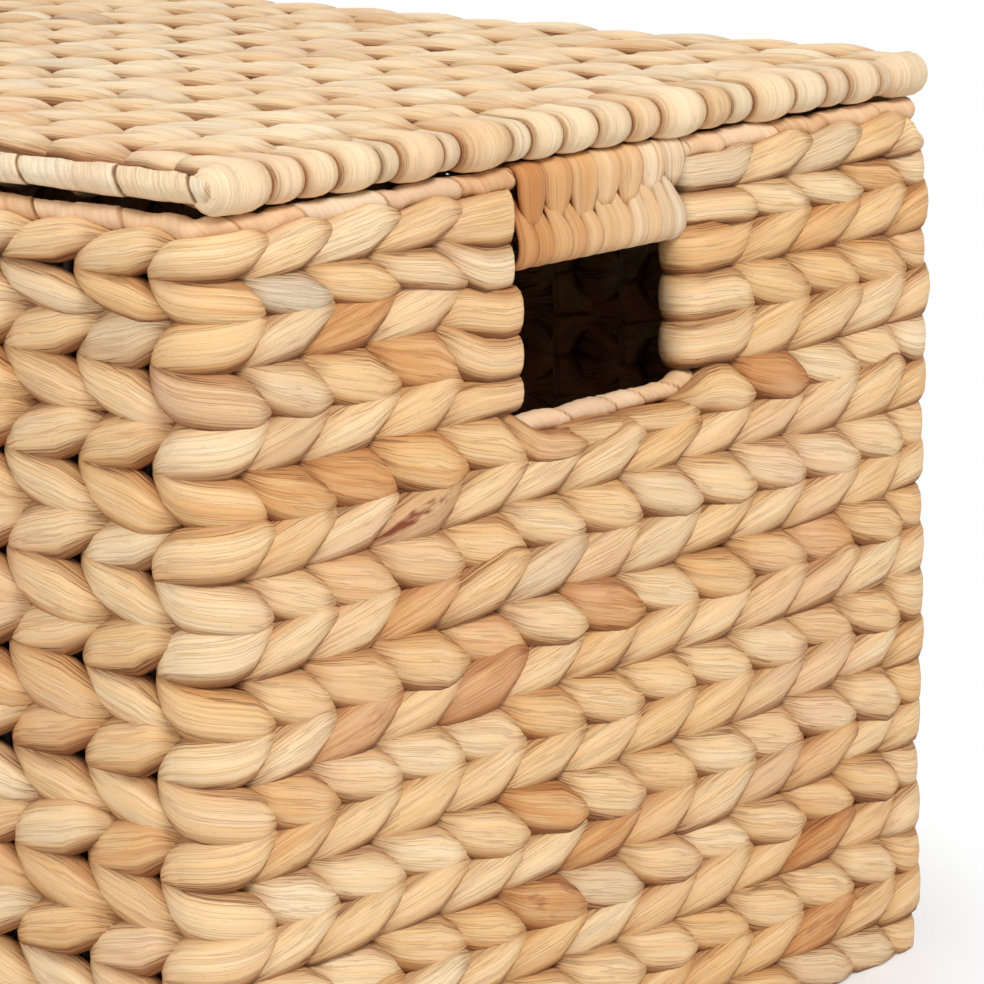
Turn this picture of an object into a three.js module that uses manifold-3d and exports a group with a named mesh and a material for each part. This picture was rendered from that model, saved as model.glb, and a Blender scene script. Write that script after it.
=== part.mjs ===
// Woven lidded box: water-hyacinth leaf twined round a welded wire frame, with a hinged lid.
// Millimetres, +Z up. The origin is on the ground under the middle of the box.
// x runs along the box, with a hand opening in each end, and the lid hinges at the back, at +y.
import * as THREE from "three";
import { mergeVertices } from "three/addons/utils/BufferGeometryUtils.js";
import Module from "manifold-3d";

const wasm = await Module();
wasm.setup();

// Box, measured between the stake lines of opposite walls, and its rim ring's centre line
const boxLength = 470;
const boxWidth = 350;
const rimHeight = 295;
const stakeCornerRadius = 7;
const innerCornerRadius = 1.5;
const cornerSteps = 2;

// Wires of the two welded frames
const ringWireRadius = 2;
const stakeRadius = 1.3;
const ringSides = 6;
const stakeSides = 4;
const cornerStakeGap = 26;
const endBays = 10;
const sideBays = 14;

// Clearances between pieces
const fitGap = 0.3;
const floorGap = 1;
const loopSideGap = 0.5;

// Woven walls: rows of twined leaf, each a rib on both faces of the wall
const rowCount = 20;
const topRows = 2;
const topRowHeight = 10.85;
const openingRows = 3;
const wallCrest = 8.5;
const wallValley = 5.5;
const outerRibShares = [0.3, 0.7];
const innerRibShares = [0.5];

// Rim, handles and sills: leaf strip wound over the wires
const rimWrapRadius = 3.3;
const wrapSides = 8;
const handleHalfWidth = 42;
const handleThickness = 9;
const handleDrop = 28;
const handleArcSteps = 4;
const jambSetback = 6;
const sillSeat = 6.5;
const sillWrapRadius = 2.75;
const sillInset = 2;
const noseSides = 10;

// Floor panel
const floorLevel = 11;
const floorCrest = 5;
const floorValley = 3.6;
const floorPlaits = 11;

// Lid panel and its wound edges
const lidCrest = 5.5;
const lidValley = 3.7;
const lidPlaits = 11;
const lidEndCrest = 7;
const lidEndValley = 5.8;
const lidEndOverhang = 2.2;
const lidEndSides = 8;
const lidRodWrapRadius = 4;

// Hinge loops, lashed round the rear rim and the lid's rear rod
const loopLength = 16;
const loopThickness = 1.3;
const loopBay = 4.5;
const loopArcSteps = 6;
const loopNotchDepth = 8.6;

// Colours
const leafColour = 0xe1bd8c;
const paleLeafColour = 0xe9cfa4;
const stripColour = 0xd8b07c;
const wireColour = 0x8d8b86;

// Worked-out sizes
const halfLength = boxLength / 2;
const halfWidth = boxWidth / 2;
const wovenTop = rimHeight - rimWrapRadius;
const rowHeight = (wovenTop - topRows * topRowHeight) / (rowCount - topRows);
const endPitch = (boxWidth - 2 * cornerStakeGap) / endBays;
const sidePitch = (boxLength - 2 * cornerStakeGap) / sideBays;
const splitRow = topRows + openingRows;
const handleRadius = handleThickness / 2;
const handleBottom = rimHeight - handleDrop;
const handleWireHeight = handleBottom + handleRadius;
const jambHalfSpacing = handleHalfWidth + jambSetback;
const openingHalfWidth = jambHalfSpacing - wallCrest;
const sillHeight = rowTop(splitRow) - sillSeat;
const lidHeight = rimHeight + rimWrapRadius + fitGap + lidEndCrest;
const loopBore = lidRodWrapRadius + fitGap;
const loopRadius = loopBore + loopThickness;
const loopPlace = loopBay * sidePitch;
const overrun = boxLength;

// Height of the top of a row, with row 0 the first under the rim
function rowTop(row) {
  const shortRows = Math.min(row, topRows);
  return wovenTop - shortRows * topRowHeight - (row - shortRows) * rowHeight;
}

// Solids

function solidOf(geometry) {
  const shape = geometry.clone();
  shape.deleteAttribute("normal");
  shape.deleteAttribute("uv");
  const welded = mergeVertices(shape);
  return new wasm.Manifold(new wasm.Mesh({
    numProp: 3,
    vertProperties: new Float32Array(welded.attributes.position.array),
    triVerts: new Uint32Array(welded.index.array),
  }));
}

function geometryOf(solid) {
  const mesh = solid.getMesh();
  const geometry = new THREE.BufferGeometry();
  geometry.setAttribute("position", new THREE.Float32BufferAttribute(mesh.vertProperties, 3));
  geometry.setIndex(Array.from(mesh.triVerts));
  geometry.computeVertexNormals();
  return geometry;
}

function leaf(color) {
  return new THREE.MeshStandardMaterial({ color, roughness: 0.75, metalness: 0, flatShading: true });
}

function steel() {
  return new THREE.MeshStandardMaterial({ color: wireColour, roughness: 0.4, metalness: 0.9 });
}

function piece(name, solid, material) {
  const mesh = new THREE.Mesh(geometryOf(solid), material);
  mesh.name = name;
  return mesh;
}

// A block between two corners
function block(from, to) {
  const size = to.clone().sub(from);
  const middle = from.clone().add(to).multiplyScalar(0.5);
  return solidOf(new THREE.BoxGeometry(size.x, size.y, size.z).translate(middle.x, middle.y, middle.z));
}

// A straight wire between two points
function wire(from, to, radius, sides = stakeSides) {
  const direction = to.clone().sub(from);
  const middle = from.clone().add(to).multiplyScalar(0.5);
  const turn = new THREE.Quaternion().setFromUnitVectors(
    new THREE.Vector3(0, 1, 0), direction.clone().normalize());
  const facetTurn = Math.PI / sides;
  const geometry = new THREE.CylinderGeometry(
    radius, radius, direction.length(), sides, 1, false, facetTurn);
  return solidOf(geometry.applyQuaternion(turn).translate(middle.x, middle.y, middle.z));
}

// The stake line moved outward by an offset, anticlockwise from the front right corner
function wallLine(offset) {
  const radius = Math.max(stakeCornerRadius + offset, innerCornerRadius);
  const cornerX = halfLength + offset - radius;
  const cornerY = halfWidth + offset - radius;
  const corners = [[cornerX, -cornerY], [cornerX, cornerY], [-cornerX, cornerY], [-cornerX, -cornerY]];
  return corners.flatMap(([x, y], corner) => {
    const points = [];
    for (let step = 0; step <= cornerSteps; step += 1) {
      const angle = (corner - 1 + step / cornerSteps) * Math.PI / 2;
      points.push(new THREE.Vector2(x + radius * Math.cos(angle), y + radius * Math.sin(angle)));
    }
    return points;
  });
}

// A closed section of (offset, height) points, anticlockwise, carried once round the stake line
function wallSweep(section) {
  const lines = section.map((point) => wallLine(point.x));
  const around = lines[0].length;
  const positions = [];
  const indices = [];
  for (let i = 0; i < around; i += 1) {
    section.forEach((point, j) => positions.push(lines[j][i].x, lines[j][i].y, point.y));
  }
  for (let i = 0; i < around; i += 1) {
    const next = (i + 1) % around;
    for (let j = 0; j < section.length; j += 1) {
      const above = (j + 1) % section.length;
      const a = i * section.length + j;
      const b = next * section.length + j;
      const c = next * section.length + above;
      const d = i * section.length + above;
      indices.push(a, b, c, a, c, d);
    }
  }
  const geometry = new THREE.BufferGeometry();
  geometry.setAttribute("position", new THREE.Float32BufferAttribute(positions, 3));
  geometry.setIndex(indices);
  return solidOf(geometry);
}

// A round section with a flat facet towards the wires that come in: from below unless turned
function roundSection(radius, height, sides, facetTurn = -Math.PI / 2) {
  const points = [];
  for (let side = 0; side < sides; side += 1) {
    const angle = (side + 0.5) / sides * 2 * Math.PI + facetTurn;
    points.push(new THREE.Vector2(radius * Math.cos(angle), height + radius * Math.sin(angle)));
  }
  return points;
}

// How far a corner of a facetted round stands out when its facets touch the true round
function cornerReach(sides) {
  return 1 / Math.cos(Math.PI / sides);
}

// One face of ribbed work: a valley between rows and a crest across each row
function ribLine(levels, valley, crest, shares = outerRibShares) {
  const points = [];
  for (let row = 0; row + 1 < levels.length; row += 1) {
    const height = levels[row + 1] - levels[row];
    points.push(new THREE.Vector2(valley, levels[row]));
    shares.forEach((share) => {
      points.push(new THREE.Vector2(crest, levels[row] + share * height));
    });
  }
  points.push(new THREE.Vector2(valley, levels[levels.length - 1]));
  return points;
}

// Levels of the row joints from a lower row up to an upper one
function rowLevels(lowRow, highRow, bottomGap) {
  const levels = [];
  for (let row = lowRow; row >= highRow; row -= 1) {
    levels.push(rowTop(row));
  }
  levels[0] += bottomGap;
  levels[levels.length - 1] -= fitGap;
  return levels;
}

function wallSection(levels) {
  const outside = ribLine(levels, wallValley, wallCrest);
  const inside = ribLine(levels, -wallValley, -wallCrest, innerRibShares).reverse();
  return outside.concat(inside);
}

// Wire frame of the body

function stakePlaces() {
  const places = [];
  for (let bay = 0; bay <= sideBays; bay += 1) {
    const x = (bay - sideBays / 2) * sidePitch;
    places.push({ x, y: -halfWidth, top: rimHeight }, { x, y: halfWidth, top: rimHeight });
  }
  for (let bay = 0; bay <= endBays; bay += 1) {
    const y = (bay - endBays / 2) * endPitch;
    const top = Math.abs(y) < jambHalfSpacing ? sillHeight : rimHeight;
    places.push({ x: halfLength, y, top }, { x: -halfLength, y, top });
  }
  const cornerInset = stakeCornerRadius * (1 - Math.SQRT1_2);
  [-1, 1].forEach((sx) => [-1, 1].forEach((sy) => {
    places.push({
      x: sx * (halfLength - cornerInset),
      y: sy * (halfWidth - cornerInset),
      top: rimHeight,
    });
  }));
  return places;
}

function frameSolid(growth) {
  const stake = stakeRadius + growth;
  const ring = ringWireRadius + growth;
  const wires = stakePlaces().map(({ x, y, top }) => wire(
    new THREE.Vector3(x, y, floorLevel), new THREE.Vector3(x, y, top), stake));
  for (let bay = 0; bay <= sideBays; bay += 1) {
    const x = (bay - sideBays / 2) * sidePitch;
    wires.push(wire(new THREE.Vector3(x, -halfWidth, floorLevel),
      new THREE.Vector3(x, halfWidth, floorLevel), stake));
  }
  [-halfLength, halfLength].forEach((x) => {
    [sillHeight, handleWireHeight].forEach((z) => {
      wires.push(wire(new THREE.Vector3(x, -jambHalfSpacing, z),
        new THREE.Vector3(x, jambHalfSpacing, z), stake));
    });
    [-jambHalfSpacing, jambHalfSpacing].forEach((y) => {
      wires.push(wire(new THREE.Vector3(x, y, sillHeight - stake),
        new THREE.Vector3(x, y, rimHeight), stake));
    });
  });
  wires.push(wallSweep(roundSection(ring, rimHeight, ringSides)));
  wires.push(wallSweep(roundSection(ring, floorLevel, ringSides)));
  return wasm.Manifold.union(wires);
}

const frame = frameSolid(0);
const frameRoom = frameSolid(fitGap);

// Woven walls

// Room for a wound sill over the opening's lower wire
function sillRoom(x) {
  const reach = jambHalfSpacing - sillInset + fitGap;
  return wire(new THREE.Vector3(x, -reach, sillHeight), new THREE.Vector3(x, reach, sillHeight),
    sillWrapRadius + fitGap, wrapSides);
}

function lowerWall() {
  const wall = wallSweep(wallSection(rowLevels(rowCount, splitRow, 0)));
  const cuts = [frameRoom, sillRoom(halfLength), sillRoom(-halfLength)];
  [-halfLength, halfLength].forEach((x) => {
    cuts.push(block(new THREE.Vector3(x - 2 * wallCrest, -openingHalfWidth, sillHeight),
      new THREE.Vector3(x + 2 * wallCrest, openingHalfWidth, rimHeight)));
  });
  return wall.subtract(wasm.Manifold.union(cuts));
}

// Strands turning back round a jamb wire: the wall's ribs revolved about the wire
function jambNose(x, y, levels) {
  const rib = ribLine(levels, wallValley, wallCrest);
  const profile = [new THREE.Vector2(0, levels[0]), ...rib,
    new THREE.Vector2(0, levels[levels.length - 1])];
  const geometry = new THREE.LatheGeometry(profile, noseSides).rotateX(Math.PI / 2);
  return solidOf(geometry.translate(x, y, 0));
}

// The rows beside and over the hand openings, front half or back half
function upperWall(side) {
  const levels = rowLevels(splitRow, 0, fitGap);
  const jambLevels = rowLevels(splitRow, topRows, fitGap);
  const half = block(new THREE.Vector3(-overrun, 0, 0), new THREE.Vector3(overrun, overrun, overrun));
  const turned = side > 0 ? half : half.rotate([0, 0, 180]);
  let wall = wallSweep(wallSection(levels)).intersect(turned);
  [-halfLength, halfLength].forEach((x) => {
    const inner = x - 2 * wallCrest;
    const outer = x + 2 * wallCrest;
    const handleRoom = block(new THREE.Vector3(inner, -handleHalfWidth - fitGap, handleBottom - fitGap),
      new THREE.Vector3(outer, handleHalfWidth + fitGap, rimHeight));
    const jambRoom = block(new THREE.Vector3(inner, -jambHalfSpacing, sillHeight),
      new THREE.Vector3(outer, jambHalfSpacing, rowTop(topRows)));
    wall = wall.subtract(jambRoom).add(jambNose(x, side * jambHalfSpacing, jambLevels));
    wall = wall.subtract(handleRoom);
  });
  return wall.subtract(frameRoom);
}

// Gaps under the rear rim where the hinge loops turn
function backWall() {
  const notches = [-loopPlace, loopPlace].map((x) => block(
    new THREE.Vector3(x - loopLength / 2 - loopSideGap, halfWidth - loopRadius - fitGap,
      rimHeight - loopNotchDepth),
    new THREE.Vector3(x + loopLength / 2 + loopSideGap, halfWidth + 2 * wallCrest, rimHeight)));
  return upperWall(1).subtract(wasm.Manifold.union(notches));
}

// Wound rim, handles and sills

// Leaf strip wound round the rim ring from one handle to the other
function rimWrap(side) {
  const handleEnd = handleHalfWidth + fitGap;
  const start = side > 0 ? handleEnd : -overrun;
  const end = side > 0 ? overrun : -handleEnd;
  const half = block(new THREE.Vector3(-overrun, start, 0), new THREE.Vector3(overrun, end, overrun));
  const section = roundSection(rimWrapRadius * cornerReach(wrapSides), rimHeight, wrapSides);
  return wallSweep(section).intersect(half).subtract(frameRoom);
}

// A bar of plaited strips over the rim ring and the wire below it, centred on the stake line
function handleWrap() {
  const top = rimHeight + rimWrapRadius - handleRadius;
  const outline = new THREE.Shape();
  outline.absarc(0, top, handleRadius, 0, Math.PI, false);
  outline.absarc(0, handleBottom + handleRadius, handleRadius, Math.PI, 2 * Math.PI, false);
  const bar = new THREE.ExtrudeGeometry(outline, {
    depth: 2 * handleHalfWidth,
    bevelEnabled: false,
    curveSegments: handleArcSteps,
  });
  const placed = bar.translate(0, 0, -handleHalfWidth).rotateX(Math.PI / 2);
  return solidOf(placed).subtract(frameRoom.translate([-halfLength, 0, 0]));
}

function sillWrap() {
  const reach = jambHalfSpacing - sillInset;
  const rod = wire(new THREE.Vector3(0, -reach, sillHeight), new THREE.Vector3(0, reach, sillHeight),
    sillWrapRadius, wrapSides);
  return rod.subtract(frameRoom.translate([-halfLength, 0, 0]));
}

// A flat panel with a rib for each plait of two rows along x, centred on the origin
function ribbedPanel(length, width, plaits, valley, crest) {
  const levels = [];
  for (let plait = 0; plait <= plaits; plait += 1) {
    levels.push((plait / plaits - 0.5) * width);
  }
  const upper = ribLine(levels, valley, crest);
  const lower = ribLine(levels, -valley, -crest).reverse();
  const outline = new THREE.Shape(upper.concat(lower).map((point) => new THREE.Vector2(point.y, point.x)));
  const panel = new THREE.ExtrudeGeometry(outline, { depth: length, bevelEnabled: false });
  return panel.translate(0, 0, -length / 2).rotateX(Math.PI / 2).rotateZ(Math.PI / 2);
}

function floorPanel() {
  const length = boxLength - 2 * (wallCrest + floorGap);
  const width = boxWidth - 2 * (wallCrest + floorGap);
  const panel = ribbedPanel(length, width, floorPlaits, floorValley, floorCrest);
  return solidOf(panel.translate(0, 0, floorLevel)).subtract(frameRoom);
}

// Lid, in its own frame: the middle of its ring is at the origin

function lidFrameSolid(growth) {
  const section = roundSection(ringWireRadius + growth, 0, ringSides, 0);
  const wires = [wallSweep(section)];
  for (let bay = 0; bay <= sideBays; bay += 1) {
    const x = (bay - sideBays / 2) * sidePitch;
    wires.push(wire(new THREE.Vector3(x, -halfWidth, 0), new THREE.Vector3(x, halfWidth, 0),
      stakeRadius + growth));
  }
  return wasm.Manifold.union(wires);
}

const lidFrame = lidFrameSolid(0);
const lidFrameRoom = lidFrameSolid(fitGap);

// Row ends turned round the end rod: rounded lumps revolved about the rod
function lidEndWrap(x) {
  const reach = halfWidth + lidEndOverhang;
  const corner = cornerReach(lidEndSides);
  const levels = [];
  for (let plait = 0; plait <= lidPlaits; plait += 1) {
    levels.push((2 * plait / lidPlaits - 1) * reach);
  }
  const lumps = ribLine(levels, lidEndValley * corner, lidEndCrest * corner);
  const profile = [new THREE.Vector2(0, -reach), ...lumps, new THREE.Vector2(0, reach)];
  const geometry = new THREE.LatheGeometry(profile, lidEndSides, Math.PI / lidEndSides);
  return solidOf(geometry.translate(x, 0, 0));
}

function lidPanel() {
  const width = boxWidth - 2 * (lidRodWrapRadius + fitGap);
  const panel = solidOf(ribbedPanel(boxLength, width, lidPlaits, lidValley, lidCrest));
  const notches = [-loopPlace, loopPlace].map((x) => block(
    new THREE.Vector3(x - loopLength / 2 - fitGap, halfWidth - loopRadius - fitGap, -lidEndCrest),
    new THREE.Vector3(x + loopLength / 2 + fitGap, halfWidth, lidEndCrest)));
  return panel.add(lidEndWrap(halfLength)).add(lidEndWrap(-halfLength))
    .subtract(wasm.Manifold.union([lidFrameRoom, ...notches]));
}

// Leaf strip wound round a long rod of the lid, between the row ends
function lidRodWrap(y) {
  const reach = halfLength - lidEndCrest - fitGap;
  const rod = wire(new THREE.Vector3(-reach, y, 0), new THREE.Vector3(reach, y, 0),
    lidRodWrapRadius, wrapSides);
  return rod.subtract(lidFrameRoom);
}

// A band round the rear rim below and the lid's rear rod above
function hingeLoop() {
  const rise = lidHeight - rimHeight;
  const band = new THREE.Shape();
  band.absarc(0, rise, loopRadius, 0, Math.PI, false);
  band.absarc(0, 0, loopRadius, Math.PI, 2 * Math.PI, false);
  const bore = new THREE.Path();
  bore.absarc(0, rise, loopBore, 0, Math.PI, false);
  bore.absarc(0, 0, loopBore, Math.PI, 2 * Math.PI, false);
  band.holes.push(bore);
  const loop = new THREE.ExtrudeGeometry(band, {
    depth: loopLength,
    bevelEnabled: false,
    curveSegments: loopArcSteps,
  });
  return solidOf(loop.translate(0, 0, -loopLength / 2).rotateX(Math.PI / 2).rotateZ(Math.PI / 2));
}

// Assembly

const body = new THREE.Group();
body.add(piece("wire_frame", frame, steel()));
body.add(piece("wall_weave_lower", lowerWall(), leaf(leafColour)));
body.add(piece("wall_weave_front", upperWall(-1), leaf(leafColour)));
body.add(piece("wall_weave_back", backWall(), leaf(leafColour)));
body.add(piece("rim_wrap_front", rimWrap(-1), leaf(stripColour)));
body.add(piece("rim_wrap_back", rimWrap(1), leaf(stripColour)));
body.add(piece("floor_weave", floorPanel(), leaf(paleLeafColour)));
[["right", 0], ["left", Math.PI]].forEach(([side, turn]) => {
  const end = new THREE.Group();
  const handle = piece(`handle_wrap_${side}`, handleWrap(), leaf(stripColour));
  const sill = piece(`sill_wrap_${side}`, sillWrap(), leaf(stripColour));
  handle.position.x = halfLength;
  sill.position.x = halfLength;
  end.add(handle, sill);
  end.rotation.z = turn;
  body.add(end);
});

const lid = new THREE.Group();
lid.position.z = lidHeight;
lid.add(piece("lid_wire_frame", lidFrame, steel()));
lid.add(piece("lid_weave", lidPanel(), leaf(paleLeafColour)));
lid.add(piece("lid_front_wrap", lidRodWrap(-halfWidth), leaf(stripColour)));
lid.add(piece("lid_rear_wrap", lidRodWrap(halfWidth), leaf(stripColour)));
[["right", 1], ["left", -1]].forEach(([side, sign]) => {
  const loop = piece(`hinge_loop_${side}`, hingeLoop(), leaf(stripColour));
  loop.position.set(sign * loopPlace, halfWidth, rimHeight - lidHeight);
  lid.add(loop);
});

const box = new THREE.Group();
box.add(body, lid);

export default box;
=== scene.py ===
import math

import bmesh
import bpy
import numpy as np
from mathutils import Matrix, Vector


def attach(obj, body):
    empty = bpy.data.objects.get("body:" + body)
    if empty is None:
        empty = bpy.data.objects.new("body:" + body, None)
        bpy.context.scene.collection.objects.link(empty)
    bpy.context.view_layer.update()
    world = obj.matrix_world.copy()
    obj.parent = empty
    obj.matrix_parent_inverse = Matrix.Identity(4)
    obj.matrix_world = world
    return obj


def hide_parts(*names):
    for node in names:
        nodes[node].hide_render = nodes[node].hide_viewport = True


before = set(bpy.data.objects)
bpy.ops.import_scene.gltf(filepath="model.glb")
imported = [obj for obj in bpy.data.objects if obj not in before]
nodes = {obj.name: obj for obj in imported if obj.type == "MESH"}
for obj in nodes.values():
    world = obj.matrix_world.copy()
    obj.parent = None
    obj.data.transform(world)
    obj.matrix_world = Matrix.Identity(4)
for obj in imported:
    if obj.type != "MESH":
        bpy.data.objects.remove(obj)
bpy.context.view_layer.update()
print("frame loaded")

# Lengths here are in millimetres and become metres where a mesh is made
mm = 0.001
rng = np.random.default_rng(41)

# The jambs' dip is how far the edges of the top rows bend down beside the hand bar
box = {
    "halfLength": 235.0,
    "halfWidth": 175.0,
    "rim": 295.0,
    "cornerRadius": 7.0,
    "cornerGap": 26.0,
    "sideBays": 14,
    "endBays": 10,
    "jamb": 48.0,
    "sill": 218.5,
    "bindingX": 134.36,
    "jambDip": [0.0, -5.2, -8.0, -7.0, -4.7, 0.0],
    "rowTops": [291.7, 280.85, 270.0, 255.0, 240.0, 225.0, 210.0, 195.0, 180.0, 165.0, 150.0,
                135.0, 120.0, 105.0, 90.0, 75.0, 60.0, 45.0, 30.0, 15.0, 0.6],
}

# Camera, solved from the rim, the stakes and the rows

cameraPlace = {
    "at": (1.0929, -1.1162, 0.4881),
    "azimuth": 38.83,
    "pitch": 11.9,
    "roll": -0.273,
    "lens": 168.26,
    "sensor": 36,
    "near": 0.01,
    "far": 50,
}


def addObject(name, data):
    thing = bpy.data.objects.new(name, data)
    bpy.context.scene.collection.objects.link(thing)
    return thing


def makeCamera(place):
    data = bpy.data.cameras.new("camera")
    data.lens = place["lens"]
    data.sensor_width = place["sensor"]
    data.clip_start = place["near"]
    data.clip_end = place["far"]
    camera = addObject("camera", data)
    azimuth, pitch, roll = (math.radians(place[k]) for k in ("azimuth", "pitch", "roll"))
    flat = math.cos(pitch)
    forward = Vector((-flat * math.sin(azimuth), flat * math.cos(azimuth), -math.sin(pitch)))
    level = Vector((math.cos(azimuth), math.sin(azimuth), 0))
    up = level.cross(forward)
    right = level * math.cos(roll) + up * math.sin(roll)
    up = up * math.cos(roll) - level * math.sin(roll)
    turn = Matrix((right, up, -forward)).transposed()
    camera.matrix_world = Matrix.Translation(place["at"]) @ turn.to_4x4()
    bpy.context.scene.camera = camera


makeCamera(cameraPlace)

# Materials


def srgb(red, green, blue):
    return tuple((c / 255 / 12.92) if c <= 10 else ((c / 255 + 0.055) / 1.055) ** 2.4
                 for c in (red, green, blue)) + (1.0,)


def newMaterial(name):
    material = bpy.data.materials.new(name)
    material.use_nodes = True
    return material, material.node_tree, material.node_tree.nodes["Principled BSDF"]


def addNode(tree, kind, inputs=None, **settings):
    node = tree.nodes.new(kind)
    for name, value in settings.items():
        setattr(node, name, value)
    for name, value in (inputs or {}).items():
        if isinstance(value, bpy.types.NodeSocket):
            tree.links.new(value, node.inputs[name])
        else:
            node.inputs[name].default_value = value
    return node


def addMath(tree, operation, a, b=0.0, clamp=False):
    return addNode(tree, "ShaderNodeMath", {0: a, 1: b}, operation=operation, use_clamp=clamp).outputs[0]


def addRange(tree, value, low, high, toLow=0.0, toHigh=1.0):
    return addNode(tree, "ShaderNodeMapRange", {"Value": value, "From Min": low, "From Max": high,
                   "To Min": toLow, "To Max": toHigh}, interpolation_type="SMOOTHSTEP").outputs[0]


def addBlend(tree, share, a, b, blend="MIX"):
    node = tree.nodes.new("ShaderNodeMix")
    node.data_type = "RGBA"
    node.blend_type = blend
    for socket, value in ((node.inputs[0], share), (node.inputs[6], a), (node.inputs[7], b)):
        if isinstance(value, bpy.types.NodeSocket):
            tree.links.new(value, socket)
        else:
            socket.default_value = value
    return node.outputs[2]


def addRamp(tree, value, stops):
    ramp = addNode(tree, "ShaderNodeValToRGB", {"Fac": value})
    while len(ramp.color_ramp.elements) < len(stops):
        ramp.color_ramp.elements.new(0.5)
    for element, (place, colour) in zip(ramp.color_ramp.elements, stops):
        element.position = place
        element.color = colour
    return ramp.outputs["Color"]


# Noises of the leaf: scale across the strand, scale along it, detail, shift
leafNoises = {
    "fine": (2.7, 0.55, 2.0, 0.0),
    "wide": (0.5, 0.4, 2.0, 11.0),
    "lines": (1.25, 0.5, 1.0, 23.0),
    "where": (0.55, 0.6, 1.0, 71.0),
    "patches": (0.28, 0.9, 3.0, 37.0),
    "dots": (3.2, 14.0, 0.0, 51.0),
}

# How they are read: from, to and, where they differ from 0 and 1, the values there
leafMarks = {
    "creaseWidth": (0.007, 0.042, 1.0, 0.0),
    "creasePlaces": (0.38, 0.58, 0.12, 1.0),
    "creasesInShade": (0.0, 0.6, 0.35, 1.0),
    "fineCreases": (0.5, 0.74),
    "fineShare": 0.34,
    "bands": (0.3, 0.7),
    "stain": (0.5, 0.72),
    "specks": (0.7, 0.78),
    "bandHeight": 0.8,
    "creaseDepth": 0.5,
    "noiseRoughness": 0.6,
    "seedStep": 97.0,
}


# Dried leaf: dark creases that run along the strand and close in at its tips, drawn darker where the strand carries
# painted shade; soft bands, stains
def makeFibreGroup(marks):
    tree = bpy.data.node_groups.new("leafFibre", "ShaderNodeTree")
    for name, kind, value in (("Strand UV", "NodeSocketVector", None), ("Seed", "NodeSocketFloat", 0.5),
                              ("Shade", "NodeSocketFloat", 0.0), ("Fibres", "NodeSocketFloat", 6.0),
                              ("Stretch", "NodeSocketFloat", 4.0)):
        socket = tree.interface.new_socket(name=name, in_out="INPUT", socket_type=kind)
        if value is not None:
            socket.default_value = value
    for name in ("Creases", "Bands", "Stain", "Specks", "Height"):
        tree.interface.new_socket(name=name, in_out="OUTPUT", socket_type="NodeSocketFloat")
    given = tree.nodes.new("NodeGroupInput").outputs
    uv = addNode(tree, "ShaderNodeSeparateXYZ", {0: given["Strand UV"]}).outputs
    angle = addMath(tree, "MULTIPLY", uv["X"], 2 * math.pi)
    ringX = addMath(tree, "MULTIPLY", addMath(tree, "COSINE", angle), given["Fibres"])
    ringY = addMath(tree, "MULTIPLY", addMath(tree, "SINE", angle), given["Fibres"])
    along = addMath(tree, "MULTIPLY", uv["Y"], given["Stretch"])
    shift = addMath(tree, "MULTIPLY", given["Seed"], marks["seedStep"])

    def noise(acrossScale, alongScale, detail, offset):
        place = addNode(tree, "ShaderNodeCombineXYZ", {
            "X": addMath(tree, "MULTIPLY", ringX, acrossScale),
            "Y": addMath(tree, "MULTIPLY", ringY, acrossScale),
            "Z": addMath(tree, "MULTIPLY", along, alongScale)}).outputs[0]
        return addNode(tree, "ShaderNodeTexNoise", {
            "Vector": place, "W": addMath(tree, "ADD", shift, offset), "Scale": 1.0,
            "Detail": detail, "Roughness": marks["noiseRoughness"]}, noise_dimensions="4D").outputs["Fac"]

    noises = {name: noise(*setting) for name, setting in leafNoises.items()}
    # The creases are drawn darker where the Shade input, the painted shade, is high
    edges = addRange(tree, given["Shade"], *marks["creasesInShade"])
    apart = addMath(tree, "ABSOLUTE", addMath(tree, "SUBTRACT", noises["lines"], 0.5))
    dark = addMath(tree, "MULTIPLY", addRange(tree, apart, *marks["creaseWidth"]),
                   addRange(tree, noises["where"], *marks["creasePlaces"]))
    fine = addMath(tree, "MULTIPLY", addRange(tree, noises["fine"], *marks["fineCreases"]), marks["fineShare"])
    creases = addMath(tree, "MAXIMUM", addMath(tree, "MULTIPLY", dark, edges), fine)
    height = addMath(tree, "SUBTRACT", addMath(tree, "MULTIPLY", noises["wide"], marks["bandHeight"]),
                     addMath(tree, "MULTIPLY", creases, marks["creaseDepth"]))
    found = {
        "Creases": creases,
        "Bands": addRange(tree, noises["wide"], *marks["bands"]),
        "Stain": addRange(tree, noises["patches"], *marks["stain"]),
        "Specks": addRange(tree, noises["dots"], *marks["specks"]),
        "Height": height,
    }
    out = tree.nodes.new("NodeGroupOutput").inputs
    for name, value in found.items():
        tree.links.new(value, out[name])
    return tree


fibreGroup = makeFibreGroup(leafMarks)

wallLeaf = {
    "tones": [(0.0, srgb(250, 225, 186)), (0.3, srgb(245, 211, 163)), (0.55, srgb(239, 196, 140)),
              (0.8, srgb(226, 170, 110)), (1.0, srgb(202, 136, 76))],
    "pink": srgb(234, 190, 150),
    "crease": srgb(138, 72, 30),
    "creaseShare": 0.78,
    # Painted shade for crevices, seams and dives, from none to darkest, and how much of it is used
    "paintedHollowShade": [(0.0, (1, 1, 1, 1)), (0.35, (0.74, 0.62, 0.5, 1)), (0.7, (0.42, 0.24, 0.13, 1)),
               (1.0, (0.1, 0.04, 0.015, 1))],
    "paintedShadeShare": 0.94,
    "paintedShadeBands": (0.0, 1.0, 1.0, 0.75),
    "stain": srgb(134, 64, 32),
    "grey": srgb(216, 198, 172),
    "fibres": 6.4,
    "stretch": 3.4,
    "bump": 0.8,
    "bumpDepth": 0.001,
    "bandShare": 0.26,
    "blush": 0.55,
    "blushScale": 22.0,
    "blushFrom": 0.45,
    "blushTo": 0.75,
    "stainBands": (0.1, 0.9, 0.25, 1.0),
    "speckShare": 0.16,
    "roughness": (0.0, 1.0, 0.5, 0.68),
    "specular": 0.35,
}
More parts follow.
